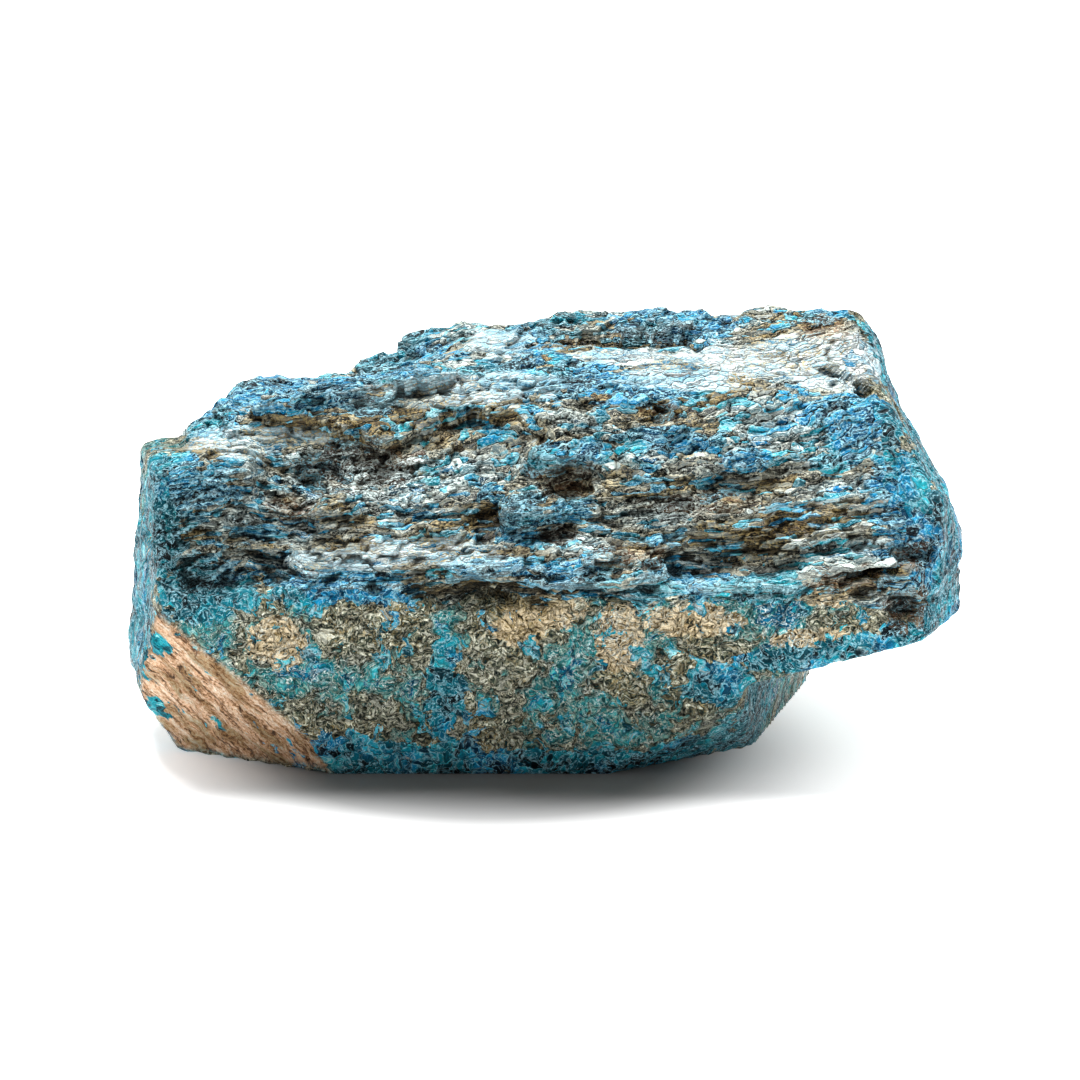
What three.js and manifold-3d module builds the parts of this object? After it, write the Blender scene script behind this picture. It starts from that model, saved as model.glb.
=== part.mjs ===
// Apatite specimen: a hand-sized piece of rough blue rock, formed and broken as one solid.
// Millimetres, +Z up. X runs along the length and the flat front face looks towards -Y.
// The stone rests on its flat underside at z = 0, with the middle of its box above the origin.
import * as THREE from 'three';
import { mergeVertices } from 'three/addons/utils/BufferGeometryUtils.js';
import Module from 'manifold-3d';

// Driving dimensions, in mm. Heights are above the underside.
const LEFT = -38.9;         // the left end
const RIGHT = 40.2;         // the right end
const FRONT = -18.2;        // the flat front face, at the height of the shoulder
const BACK = 16.6;          // the back face
const SHOULDER = 19.4;      // the long step between the flat front face and the layered top
const CREST = 36.9;         // front rim of the main slab's top
const KNOB = 39.4;          // top of the knob at the right, the highest point
const LEFT_TERRACE = 29.2;  // top of the lowest terrace, at the left end
const NEXT_TERRACE = 33.3;  // top of the terrace behind it
const OVERHANG = 9.8;      // underside of the right end, which juts out past the foot
const FOOT_END = 19.0;      // where the foot stops under the overhang

// The layering: sheets that tilt with the stone, each broken back a little differently
const SHEET = 4.1;          // thickness of a sheet
const SHEET_RELIEF = 1.15;  // how far a sheet stands out or lies back
const TILT_RIGHT = 0.075;   // rise of the layering per mm to the right
const TILT_BACK = 0.10;     // rise of the layering per mm towards the back
const WAVE = 1.5;           // height of the slow waves in the layering
const LUMP_RELIEF = 0.5;    // height of the small lumps between the larger forms

// Edge softness: how far from an edge two broken faces start to round into each other
const BROKEN_EDGE = 1.5;
const CORNER = 0.9;

// Hollows and lumps: where each lies, its half size along x, y and z, and how far it stands out
const FORMS = [
  { at: [8.6, 5.4, 37.0], size: [5.2, 2.0, 2.6], out: -5.5 },      // pit behind the crest
  { at: [12.8, 8.4, 37.4], size: [3.2, 1.5, 1.0], out: 1.1 },      // lumps on the pit's far wall
  { at: [9.0, 12.0, 38.6], size: [9.0, 2.6, 2.2], out: 0.9 },      // rim behind the pit
  { at: [-15.5, -4.8, 33.8], size: [5.6, 3.0, 1.3], out: -3.4 },   // recess under the upper terrace
  { at: [-18.5, -9.5, 28.2], size: [6.5, 3.0, 2.4], out: -3.0 },   // rusty hollow in the corner
  { at: [-26.5, -13.9, 22.6], size: [5.5, 3.0, 1.3], out: -0.9 },  // low slot at the left
  { at: [-25.0, -14.8, 23.6], size: [2.2, 2.0, 0.8], out: 1.0 },   // crystal over that slot
  { at: [-13.5, -14.0, 25.0], size: [5.5, 3.0, 3.5], out: -1.2 },  // bay left of the main slab
  { at: [-5.6, -18.3, 18.4], size: [6.0, 2.5, 1.1], out: -2.2 },   // undercut below the shoulder
  { at: [-5.2, -17.8, 20.5], size: [3.6, 2.2, 1.0], out: 1.2 },    // lip over the undercut
  { at: [-1.6, -13.6, 25.4], size: [2.4, 2.4, 3.0], out: 2.0 },    // blue lump on the slab's corner
  { at: [-5.2, -13.4, 24.6], size: [1.6, 2.2, 3.4], out: -2.0 },   // cleft beside that lump
  { at: [-11.0, -0.8, 35.8], size: [2.8, 1.8, 0.9], out: 1.2 },    // lip near the upper left rim
  { at: [-10.5, -1.9, 34.3], size: [3.2, 1.8, 0.8], out: -1.4 },   // groove under that lip
  { at: [-6.9, -4.9, 31.6], size: [2.6, 2.0, 1.1], out: -1.7 },    // shallow recess beside it
  { at: [11.1, -7.6, 33.0], size: [2.0, 1.6, 0.8], out: -1.6 },    // small hole under the slope
  { at: [3.0, -10.6, 27.2], size: [2.5, 2.0, 1.5], out: -1.8 },    // hollow in the main slope
  { at: [2.0, -10.2, 29.6], size: [4.6, 2.2, 0.9], out: 1.1 },     // ledge over the hollow
  { at: [1.7, -14.3, 23.0], size: [1.9, 1.8, 1.1], out: -1.3 },    // notch below the blue lump
  { at: [18.0, -11.9, 27.3], size: [3.6, 2.0, 0.9], out: -1.9 },   // slot in the right slope
  { at: [19.5, -10.8, 29.2], size: [2.6, 2.0, 0.8], out: 0.9 },    // lip over the slot
  { at: [30.9, -2.4, 33.6], size: [1.5, 1.5, 0.8], out: -1.0 },    // hole at the crack's lower end
  { at: [34.1, -17.4, 16.9], size: [1.5, 1.6, 1.5], out: -1.8 },   // round pit near the right end
  { at: [35.0, -16.8, 21.8], size: [1.8, 1.6, 1.0], out: -1.3 },   // smaller pit above it
  { at: [-38.8, -8.0, 13.0], size: [2.0, 3.0, 2.0], out: -1.0 },   // pocket in the left end
  { at: [-38.0, -10.0, 21.5], size: [2.0, 4.0, 1.2], out: -1.0 },  // slot above that pocket
  { at: [-28.5, 12.0, 30.5], size: [3.2, 6.0, 2.0], out: 1.6 },    // raised corner of the next terrace
  { at: [-16.3, 11.0, 33.6], size: [2.2, 5.0, 1.6], out: 1.0 },    // raised corner of the upper terrace
  { at: [-12.0, 16.5, 22.0], size: [10.0, 4.0, 7.0], out: -2.2 },  // broad hollow in the back
  { at: [14.0, 16.8, 12.0], size: [9.0, 4.0, 5.0], out: 1.3 },     // broad lump low on the back
  { at: [23.0, 15.5, 29.0], size: [6.0, 4.0, 4.0], out: -1.8 },    // hollow high on the back
  { at: [0.0, 16.0, 31.0], size: [7.0, 4.0, 3.0], out: 1.2 },      // lump high on the back
];

// Round the knob the sheets stand out less: its middle and half size
const CALM_KNOB = [[28.5, 7.0, 38.5], [4.5, 6.0, 3.0]];

// The crack runs down from the valley between crest and knob
const CRACK_TOP = new THREE.Vector3(22.6, 2.6, 38.4);
const CRACK_FOOT = new THREE.Vector3(31.0, -2.6, 33.6);
const CRACK_WIDTH = 0.8;
const CRACK_DEPTH = 1.0;

// The mesh: how many cells lie along, across and up the stone
const CELLS_ALONG = 40;
const CELLS_ACROSS = 20;
const CELLS_UP = 32;
const ROWS_TO_TOP = 0.18;   // how much closer the rows lie in the layered top
const CORE = new THREE.Vector3(0, 0, 19.0);     // middle of the line that the rays start from
const REACH = new THREE.Vector3(41, 18.5, 21);  // half size of the box that they aim at
const SPARE = 1.5;          // stone left below the underside and then cut away
const CORE_LENGTH = 0.62;   // length of that line as a share of the stone's

// A flat broken face through a point, looking outwards along a direction
function face(at, facing) {
  const normal = new THREE.Vector3(...facing).normalize();
  return new THREE.Plane().setFromNormalAndCoplanarPoint(normal, new THREE.Vector3(...at));
}

// The larger of two distances, rounded over where they are close: two faces meeting at an edge
function meet(softness, first, ...others) {
  let result = first;
  for (const other of others) {
    const share = THREE.MathUtils.clamp(0.5 + (0.5 * (result - other)) / softness, 0, 1);
    result = other * (1 - share) + result * share + softness * share * (1 - share);
  }
  return result;
}

// The smaller of the distances, rounded the same way: pieces of stone grown together
function join(softness, first, ...others) {
  const turned = others.map((other) => -other);
  return -meet(softness, -first, ...turned);
}

// Repeatable number from 0 to 1 for each corner of a lattice
function scatter(i, j, k, seed) {
  const value = Math.sin(i * 127.1 + j * 311.7 + k * 74.7 + seed * 19.19) * 43758.5453;
  return value - Math.floor(value);
}

// Smooth random swell from -1 to 1, with one hill or dip per unit of length
function swell(x, y, z, seed) {
  const [i, j, k] = [x, y, z].map(Math.floor);
  const [u, v, w] = [x - i, y - j, z - k].map((f) => f * f * f * (f * (f * 6 - 15) + 10));
  let sum = 0;
  for (let corner = 0; corner < 8; corner++) {
    const a = corner & 1;
    const b = (corner >> 1) & 1;
    const c = (corner >> 2) & 1;
    const weight = (a ? u : 1 - u) * (b ? v : 1 - v) * (c ? w : 1 - w);
    sum += weight * scatter(i + a, j + b, k + c, seed);
  }
  return sum * 2 - 1;
}

// Each terrace of the layered top is the meeting of the flat faces that bound it
const MAIN_SLAB = [
  face([0, FRONT + 0.6, SHOULDER - 0.1], [-0.02, -0.80, 0.62]),
  face([10, -6.8, CREST - 3.6], [0, -0.40, 0.91]),
  face([6, 3, CREST], [-0.03, -0.19, 1]),
  face([RIGHT - 4.0, 0, SHOULDER + 9], [0.875, 0.02, 0.466]),
  face([-5.5, -14, SHOULDER + 4.6], [-0.66, -0.30, 0.69]),
];
const UPPER_LEFT_SLAB = [
  face([-8, -1, CREST - 2.3], [0.05, -0.62, 0.78]),
  face([-8, 8, CREST - 0.2], [-0.03, -0.12, 1]),
  face([-10.2, 8, CREST - 0.2], [-0.42, -0.02, 0.90]),
  face([-18, 5, CREST - 3.3], [-0.8, -0.15, 0.55]),
  face([2, 5, 30], [1, 0, 0.2]),
];
const NEXT_TERRACE_SLAB = [
  face([-22, -5.5, NEXT_TERRACE - 2.3], [0.12, -0.93, 0.35]),
  face([-21, 3, NEXT_TERRACE], [-0.09, 0.18, 1]),
  face([-30.8, 3, NEXT_TERRACE - 0.8], [-0.62, -0.10, 0.78]),
  face([-32.8, 3, NEXT_TERRACE - 3.8], [-0.97, -0.10, 0.20]),
  face([-8, 3, 30], [1, 0, 0.2]),
];
const LEFT_TERRACE_SLAB = [
  face([-33, FRONT + 2, LEFT_TERRACE - 9], [0.30, -0.92, 0.40]),
  face([-33, -9, LEFT_TERRACE], [-0.03, 0.10, 1]),
  face([-24, -6, LEFT_TERRACE - 1], [0.55, -0.20, 0.90]),
];
const KNOB_SLAB = [
  face([28, 9, KNOB], [0.05, -0.08, 1]),
  face([33.0, 6, KNOB - 1.6], [0.75, 0, 0.66]),
  face([33.0, 5, KNOB - 3.5], [0.97, 0, 0.22]),
  face([24.2, 6, KNOB - 1.0], [-0.30, -0.25, 0.92]),
  face([30, 3, KNOB - 2.8], [0.15, -0.80, 0.60]),
];
const SHOULDER_FACE = face([0, -15, SHOULDER + 0.2], [-0.035, -0.08, 1]);

// The faces all round the stone
const ENDS = [
  face([0, FRONT, SHOULDER - 1.4], [0, -1, -0.12]),
  face([LEFT, -6, 10], [-0.97, -0.22, 0.05]),
  face([LEFT + 2.6, -10, 3], [-0.83, -0.12, -0.55]),
  face([LEFT + 1.2, -6, SHOULDER + 4.6], [-0.97, -0.15, 0.12]),
  face([RIGHT, -4, 18], [0.99, 0.02, 0.03]),
  face([RIGHT - 5.6, FRONT, 18], [0.66, -0.75, 0.02]),
  face([RIGHT - 3.4, FRONT + 2.2, 18], [0.934, -0.358, 0.02]),
  face([0, BACK, 15], [0, 1, -0.08]),
  face([0, BACK - 1.7, 33], [0, 0.80, 0.60]),
  face([LEFT + 2.9, 4, 18], [-0.75, 0.66, 0.05]),
  face([RIGHT - 4.5, 12, 24], [0.6, 0.8, 0.1]),
  face([0, 0, -SPARE], [0, 0, -1]),
];

// Clean breaks, cut straight through: the flat underside, the tan face across the lower left
// corner, and the three faces that undercut the right end and leave the foot standing
const UNDERSIDE = face([0, 0, 0], [0, 0, -1]);
const TAN_FACE = face([LEFT + 3.6, FRONT, 16], [-0.38, -0.78, -0.49]);
const OVERHANG_FACE = face([25, -10, OVERHANG], [0.26, -0.10, -0.96]);
const FOOT_FRONT = face([FOOT_END - 2.4, -9.5, 0], [0.376, -0.608, -0.699]);
const FOOT_SIDE = face([FOOT_END + 2.2, -5, 0.5], [0.95, -0.28, -0.14]);

// Distance of a point outside a stack of faces, with their edges softened
function outside(faces, softness, point) {
  return meet(softness, ...faces.map((one) => one.distanceToPoint(point)));
}

// The stone before the clean breaks: large flat faces with the terraces on top
function brokenShape(point) {
  const slabs = [MAIN_SLAB, UPPER_LEFT_SLAB, NEXT_TERRACE_SLAB, LEFT_TERRACE_SLAB, KNOB_SLAB];
  const terraces = slabs.map((slab) => outside(slab, BROKEN_EDGE, point));
  const top = join(1.2, SHOULDER_FACE.distanceToPoint(point), ...terraces);
  return meet(CORNER, outside(ENDS, CORNER, point), top);
}

// How far the sheet at this point stands out, from -1 to 1, with a sharp step between sheets
function sheetEdge(point) {
  const { x, y, z } = point;
  const wave = WAVE * swell(x / 17, y / 13, z / 9, 3) + (WAVE / 3) * swell(x / 6, y / 6, z / 4, 5);
  const level = (z - TILT_RIGHT * x - TILT_BACK * y + wave) / SHEET;
  const sheet = Math.floor(level);
  const blend = THREE.MathUtils.smoothstep(level - sheet, 0.8, 1);
  const torn = 0.28 * swell(x / (1.1 * SHEET), y / (1.1 * SHEET), z / SHEET, 1.5);
  const along = x / (2.6 * SHEET) + torn;
  const across = y / (2.2 * SHEET) - torn;
  const below = swell(along + sheet * 7.31, across + sheet * 3.17, 1, 1);
  const above = swell(along + (sheet + 1) * 7.31, across + (sheet + 1) * 3.17, 1, 1);
  return below * (1 - blend) + above * blend;
}

// Share of a placed form at a point: 1 at its middle, fading out evenly to 0
function fade(point, at, size) {
  const along = (point.x - at[0]) / size[0];
  const across = (point.y - at[1]) / size[1];
  const up = (point.z - at[2]) / size[2];
  const share = Math.max(0, 1 - (along * along + across * across + up * up) / 2.2);
  return share * share;
}

// Sum of the hollows and lumps at a point, and the crack
function placedForms(point) {
  let sum = 0;
  for (const { at, size, out } of FORMS) {
    sum += out * fade(point, at, size);
  }
  const crack = new THREE.Line3(CRACK_TOP, CRACK_FOOT);
  const nearest = crack.closestPointToPoint(point, true, new THREE.Vector3());
  return sum - CRACK_DEPTH * Math.max(0, 1 - nearest.distanceTo(point) / CRACK_WIDTH);
}

// Distance of a point outside the uncut stone: negative inside, zero on its surface
function stone(point) {
  const { x, y, z } = point;
  const ragged = 1.5 * swell(x / 4.5, y / 4.5, z / 4.5, 41) + 0.7 * swell(x / 1.7, y / 1.7, z / 1.7, 43);
  const above = THREE.MathUtils.smoothstep(z + 0.03 * x + ragged, SHOULDER - 2.8, SHOULDER - 0.2);
  const rightEnd = THREE.MathUtils.smoothstep(x + 0.35 * (z - SHOULDER) + ragged, RIGHT - 6, RIGHT - 2.5);
  const leftEnd = 1 - THREE.MathUtils.smoothstep(x + ragged, LEFT + 3, LEFT + 6.5);
  const layered = above * (1 - rightEnd) * (1 - 0.9 * leftEnd);
  const onFront = 1 - THREE.MathUtils.smoothstep(y, FRONT + 2.2, FRONT + 4.7);
  const crest = THREE.MathUtils.smoothstep(outside(MAIN_SLAB.slice(1, 3), BROKEN_EDGE, point), -2.2, -0.4);
  const calm = (1 - 0.6 * fade(point, ...CALM_KNOB)) * (1 - 0.6 * crest);
  const relief = calm * (0.22 + 0.78 * layered) * (1 - 0.8 * onFront * (1 - layered));
  const lumps = LUMP_RELIEF * swell(x / 7, y / 7, z / 5, 9) * (0.35 + 0.65 * layered);
  const raised = SHEET_RELIEF * relief * sheetEdge(point) + lumps + placedForms(point);
  const setBack = 0.8 - 0.5 * THREE.MathUtils.smoothstep(x, -2, 6);
  return brokenShape(point) - raised + setBack * layered * onFront;
}

// Point where a ray from the core leaves the stone for good
function surfacePoint(start, aim) {
  const at = (share) => new THREE.Vector3().lerpVectors(start, aim, share);
  const steps = 60;
  let outer = 1.35;
  let inner = outer;
  while (inner > 0 && stone(at(inner)) > 0) {
    outer = inner;
    inner -= 1.35 / steps;
  }
  for (let halving = 0; halving < 24; halving++) {
    const middle = (inner + outer) / 2;
    if (stone(at(middle)) < 0) inner = middle;
    else outer = middle;
  }
  return at((inner + outer) / 2);
}

// A finely divided box, each of its points pushed along its ray onto the stone's surface
function uncutStone() {
  const box = new THREE.BoxGeometry(2, 2, 2, CELLS_ALONG, CELLS_ACROSS, CELLS_UP);
  const position = box.attributes.position;
  for (let i = 0; i < position.count; i++) {
    const cell = new THREE.Vector3().fromBufferAttribute(position, i);
    cell.z += ROWS_TO_TOP * (1 - cell.z * cell.z);
    const aim = cell.multiply(REACH).add(CORE);
    const start = new THREE.Vector3(CORE_LENGTH * (aim.x - CORE.x), 0, 0).add(CORE);
    const point = surfacePoint(start, aim);
    position.setXYZ(i, point.x, point.y, point.z);
  }
  return box;
}

// A block with one side on a face, large enough to take away everything beyond it
function beyond(plane) {
  const size = 200;
  const block = new THREE.BoxGeometry(size, size, size);
  block.translate(0, 0, size / 2);
  const up = new THREE.Vector3(0, 0, 1);
  block.applyQuaternion(new THREE.Quaternion().setFromUnitVectors(up, plane.normal));
  const foot = plane.coplanarPoint(new THREE.Vector3());
  return block.translate(foot.x, foot.y, foot.z);
}

const wasm = await Module();
wasm.setup();

// A closed geometry as a solid that can be joined and cut
function solidFrom(geometry) {
  geometry.deleteAttribute('normal');
  geometry.deleteAttribute('uv');
  const merged = mergeVertices(geometry, 1e-4);
  const vertProperties = new Float32Array(merged.attributes.position.array);
  const triVerts = new Uint32Array(merged.index.array);
  return new wasm.Manifold(new wasm.Mesh({ numProp: 3, vertProperties, triVerts }));
}

// A solid back as a geometry, with the middle of its box above the origin
function geometryFrom(solid) {
  const { vertProperties, triVerts } = solid.getMesh();
  const geometry = new THREE.BufferGeometry();
  geometry.setAttribute('position', new THREE.BufferAttribute(vertProperties, 3));
  geometry.setIndex(new THREE.BufferAttribute(triVerts, 1));
  geometry.computeBoundingBox();
  const middle = geometry.boundingBox.getCenter(new THREE.Vector3());
  geometry.translate(-middle.x, -middle.y, 0);
  geometry.computeVertexNormals();
  return geometry;
}

// The stone with its clean breaks cut through it
function brokenStone() {
  const cut = (plane) => solidFrom(beyond(plane));
  const besideFoot = cut(FOOT_FRONT).add(cut(FOOT_SIDE));
  const undercut = cut(OVERHANG_FACE).intersect(besideFoot);
  const breaks = cut(UNDERSIDE).add(cut(TAN_FACE)).add(undercut);
  return geometryFrom(solidFrom(uncutStone()).subtract(breaks));
}

// Rough blue apatite: dull broken crystal, no metal in it
const roughApatite = new THREE.MeshStandardMaterial({
  color: 0x4a8ba0,
  roughness: 0.62,
  metalness: 0,
  flatShading: true,
});

const apatite = new THREE.Mesh(brokenStone(), roughApatite);
apatite.name = 'apatite';

const specimen = new THREE.Group();
specimen.add(apatite);

export default specimen;
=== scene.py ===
import math
import bpy
import numpy as np
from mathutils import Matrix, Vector


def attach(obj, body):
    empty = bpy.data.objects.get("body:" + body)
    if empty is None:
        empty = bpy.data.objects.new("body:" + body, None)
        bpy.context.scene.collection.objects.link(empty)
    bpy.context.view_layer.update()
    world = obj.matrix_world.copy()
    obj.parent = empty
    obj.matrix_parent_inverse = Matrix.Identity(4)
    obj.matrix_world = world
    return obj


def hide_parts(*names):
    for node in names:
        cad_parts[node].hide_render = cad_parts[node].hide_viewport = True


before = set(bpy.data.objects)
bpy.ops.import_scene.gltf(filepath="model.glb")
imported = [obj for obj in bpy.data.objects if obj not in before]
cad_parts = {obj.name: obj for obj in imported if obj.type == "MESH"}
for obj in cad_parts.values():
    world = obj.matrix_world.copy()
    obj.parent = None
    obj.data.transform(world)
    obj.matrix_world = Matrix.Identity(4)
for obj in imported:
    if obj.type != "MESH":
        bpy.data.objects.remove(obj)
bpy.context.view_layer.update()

# ---- The stone's shape -------------------------------------------------------------------
# One piece of rough apatite rock, broken out of layered ground by hand. Its top broke along the
# sheets and is stepped; the front, the tan corner, the underside and the undercut are clean breaks.

# Main sizes in millimetres; heights are above the underside
LEFT, RIGHT = -38.9, 40.2
FRONT, BACK = -18.2, 16.6
SHOULDER = 19.4
CREST = 36.9
KNOB = 39.4
LEFT_TERRACE = 29.2
NEXT_TERRACE = 33.3
OVERHANG = 9.8
FOOT_END = 19.0

# The layering: thick sheets, thin sheets within them, their tilt and their slow waves
SHEET, SHEET_RELIEF = 4.1, 1.15
LEAF, LEAF_RELIEF = 1.35, 0.42
TILT_RIGHT, TILT_BACK = 0.075, 0.10
WAVE = 1.5
LUMP_RELIEF = 0.5


def flat_face(at, facing):
    """A flat broken face: a point on it and its outward direction of length one."""
    facing = np.array(facing, float)
    return np.array(at, float), facing / np.linalg.norm(facing)


def outside_face(points, face):
    """Distance of each point beyond a flat face: the offset from its point along its direction."""
    at, facing = face
    return (points - at) @ facing


def meet(softness, *distances):
    """The larger distance, with a parabola of the given width where two are equal."""
    result = distances[0]
    for other in distances[1:]:
        share = np.clip(0.5 + 0.5 * (result - other) / softness, 0, 1)
        result = other * (1 - share) + result * share + softness * share * (1 - share)
    return result


def join(softness, *distances):
    """The smaller distance, rounded in the same way."""
    return -meet(softness, *[-one for one in distances])


def ease(low, high, values):
    """0 below low, 1 above high, and a cubic with level ends in between."""
    share = np.clip((values - low) / (high - low), 0, 1)
    return share * share * (3 - 2 * share)


def scatter(i, j, k, seed):
    """Repeatable number from 0 to 1 for lattice corners: the fraction of a large sine."""
    value = np.sin(i * 127.1 + j * 311.7 + k * 74.7 + seed * 19.19) * 43758.5453
    return value - np.floor(value)


def swell(x, y, z, seed):
    """Smooth random swell from -1 to 1: corner numbers blended by a fifth-power ease."""
    x, y, z = np.broadcast_arrays(x, y, z)
    i, j, k = np.floor(x), np.floor(y), np.floor(z)
    u, v, w = [f * f * f * (f * (f * 6 - 15) + 10) for f in (x - i, y - j, z - k)]
    total = 0
    for a, b, c in np.ndindex(2, 2, 2):
        weight = (u if a else 1 - u) * (v if b else 1 - v) * (w if c else 1 - w)
        total = total + weight * scatter(i + a, j + b, k + c, seed)
    return total * 2 - 1


# The slabs of the stepped top, each the meeting of its flat faces
MAIN_SLAB = [
    flat_face((0, FRONT + 0.6, SHOULDER - 0.1), (-0.02, -0.80, 0.62)),
    flat_face((10, -6.8, CREST - 3.6), (0, -0.40, 0.91)),
    flat_face((6, 3, CREST), (-0.03, -0.19, 1)),
    flat_face((RIGHT - 4.0, 0, SHOULDER + 9), (0.875, 0.02, 0.466)),
    flat_face((-5.5, -14, SHOULDER + 4.6), (-0.66, -0.30, 0.69)),
]
UPPER_LEFT_SLAB = [
    flat_face((-8, -1, CREST - 2.3), (0.05, -0.62, 0.78)),
    flat_face((-8, 8, CREST - 0.2), (-0.03, -0.12, 1)),
    flat_face((-10.2, 8, CREST - 0.2), (-0.42, -0.02, 0.90)),
    flat_face((-18, 5, CREST - 3.3), (-0.8, -0.15, 0.55)),
    flat_face((2, 5, 30), (1, 0, 0.2)),
]
NEXT_TERRACE_SLAB = [
    flat_face((-22, -5.5, NEXT_TERRACE - 2.3), (0.12, -0.93, 0.35)),
    flat_face((-21, 3, NEXT_TERRACE), (-0.09, 0.18, 1)),
    flat_face((-30.8, 3, NEXT_TERRACE - 0.8), (-0.62, -0.10, 0.78)),
    flat_face((-32.8, 3, NEXT_TERRACE - 3.8), (-0.97, -0.10, 0.20)),
    flat_face((-8, 3, 30), (1, 0, 0.2)),
]
LEFT_TERRACE_SLAB = [
    flat_face((-33, FRONT + 2, LEFT_TERRACE - 9), (0.30, -0.92, 0.40)),
    flat_face((-33, -9, LEFT_TERRACE), (-0.03, 0.10, 1)),
    flat_face((-24, -6, LEFT_TERRACE - 1), (0.55, -0.20, 0.90)),
]
KNOB_SLAB = [
    flat_face((28, 9, KNOB), (0.05, -0.08, 1)),
    flat_face((33.0, 6, KNOB - 1.6), (0.75, 0, 0.66)),
    flat_face((33.0, 5, KNOB - 3.5), (0.97, 0, 0.22)),
    flat_face((24.2, 6, KNOB - 1.0), (-0.30, -0.25, 0.92)),
    flat_face((30, 3, KNOB - 2.8), (0.15, -0.80, 0.60)),
]
SHOULDER_FACE = flat_face((0, -15, SHOULDER + 0.2), (-0.035, -0.08, 1))

# The faces all round, the tan corner, and the faces that undercut the right end
ENDS = [
    flat_face((0, FRONT, SHOULDER - 1.4), (0, -1, -0.12)),
    flat_face((LEFT, -6, 10), (-0.97, -0.22, 0.05)),
    flat_face((LEFT + 2.6, -10, 3), (-0.83, -0.12, -0.55)),
    flat_face((LEFT + 1.2, -6, SHOULDER + 4.6), (-0.97, -0.15, 0.12)),
    flat_face((RIGHT, -4, 18), (0.99, 0.02, 0.03)),
    flat_face((RIGHT - 5.6, FRONT, 18), (0.66, -0.75, 0.02)),
    flat_face((RIGHT - 3.4, FRONT + 2.2, 18), (0.934, -0.358, 0.02)),
    flat_face((0, BACK, 15), (0, 1, -0.08)),
    flat_face((0, BACK - 1.7, 33), (0, 0.80, 0.60)),
    flat_face((LEFT + 2.9, 4, 18), (-0.75, 0.66, 0.05)),
    flat_face((RIGHT - 4.5, 12, 24), (0.6, 0.8, 0.1)),
]
TAN_FACE = flat_face((LEFT + 3.6, FRONT, 16), (-0.38, -0.78, -0.49))
OVERHANG_FACE = flat_face((25, -10, OVERHANG), (0.26, -0.10, -0.96))
FOOT_FRONT = flat_face((FOOT_END - 2.4, -9.5, 0), (0.376, -0.608, -0.699))
FOOT_SIDE = flat_face((FOOT_END + 2.2, -5, 0.5), (0.95, -0.28, -0.14))

# Hollows and lumps: middle, half size along x, y and z, and how far each stands out
FORMS = [
    ((8.6, 5.4, 37.0), (5.2, 2.0, 2.6), -5.5),      # pit behind the crest
    ((12.8, 8.4, 37.4), (3.2, 1.5, 1.0), 1.1),      # lumps on the pit's far wall
    ((9.0, 12.0, 38.6), (9.0, 2.6, 2.2), 0.9),      # rim behind the pit
    ((-15.5, -4.8, 33.8), (5.6, 3.0, 1.3), -3.4),   # recess under the upper terrace
    ((-18.5, -9.5, 28.2), (6.5, 3.0, 2.4), -3.0),   # rusty hollow in the corner
    ((-26.5, -13.9, 22.6), (5.5, 3.0, 1.3), -0.9),  # low slot at the left
    ((-25.0, -14.8, 23.6), (2.2, 2.0, 0.8), 1.0),   # crystal over that slot
    ((-13.5, -14.0, 25.0), (5.5, 3.0, 3.5), -1.2),  # bay left of the main slab
    ((-5.6, -18.3, 18.4), (6.0, 2.5, 1.1), -2.2),   # undercut below the shoulder
    ((-5.2, -17.8, 20.5), (3.6, 2.2, 1.0), 1.2),    # lip over the undercut
    ((-1.6, -13.6, 25.4), (2.4, 2.4, 3.0), 2.0),    # blue lump on the slab's corner
    ((-5.2, -13.4, 24.6), (1.6, 2.2, 3.4), -2.0),   # cleft beside that lump
    ((-11.0, -0.8, 35.8), (2.8, 1.8, 0.9), 1.2),    # lip near the upper left rim
    ((-10.5, -1.9, 34.3), (3.2, 1.8, 0.8), -1.4),   # groove under that lip
    ((-6.9, -4.9, 31.6), (2.6, 2.0, 1.1), -1.7),    # shallow recess beside it
    ((11.1, -7.6, 33.0), (2.0, 1.6, 0.8), -1.6),    # small hole under the slope
    ((3.0, -10.6, 27.2), (2.5, 2.0, 1.5), -1.8),    # hollow in the main slope
    ((2.0, -10.2, 29.6), (4.6, 2.2, 0.9), 1.1),      # ledge over the hollow
    ((1.7, -14.3, 23.0), (1.9, 1.8, 1.1), -1.3),    # notch below the blue lump
    ((18.0, -11.9, 27.3), (3.6, 2.0, 0.9), -1.9),   # slot in the right slope
    ((19.5, -10.8, 29.2), (2.6, 2.0, 0.8), 0.9),    # lip over the slot
    ((30.9, -2.4, 33.6), (1.5, 1.5, 0.8), -1.0),    # hole at the crack's lower end
    ((34.1, -17.4, 16.9), (1.5, 1.6, 1.5), -1.8),   # round pit near the right end
    ((35.0, -16.8, 21.8), (1.8, 1.6, 1.0), -1.3),   # smaller pit above it
    ((-38.8, -8.0, 13.0), (2.0, 3.0, 2.0), -1.0),   # pocket in the left end
    ((-38.0, -10.0, 21.5), (2.0, 4.0, 1.2), -1.0),  # slot above that pocket
    ((-28.5, 12.0, 30.5), (3.2, 6.0, 2.0), 1.6),    # raised corner of the next terrace
    ((-16.3, 11.0, 33.6), (2.2, 5.0, 1.6), 1.0),    # raised corner of the upper terrace
    ((-12.0, 16.5, 22.0), (10.0, 4.0, 7.0), -2.2),  # broad hollow in the back
    ((14.0, 16.8, 12.0), (9.0, 4.0, 5.0), 1.3),     # broad lump low on the back
    ((23.0, 15.5, 29.0), (6.0, 4.0, 4.0), -1.8),    # hollow high on the back
    ((0.0, 16.0, 31.0), (7.0, 4.0, 3.0), 1.2),      # lump high on the back
]
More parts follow.
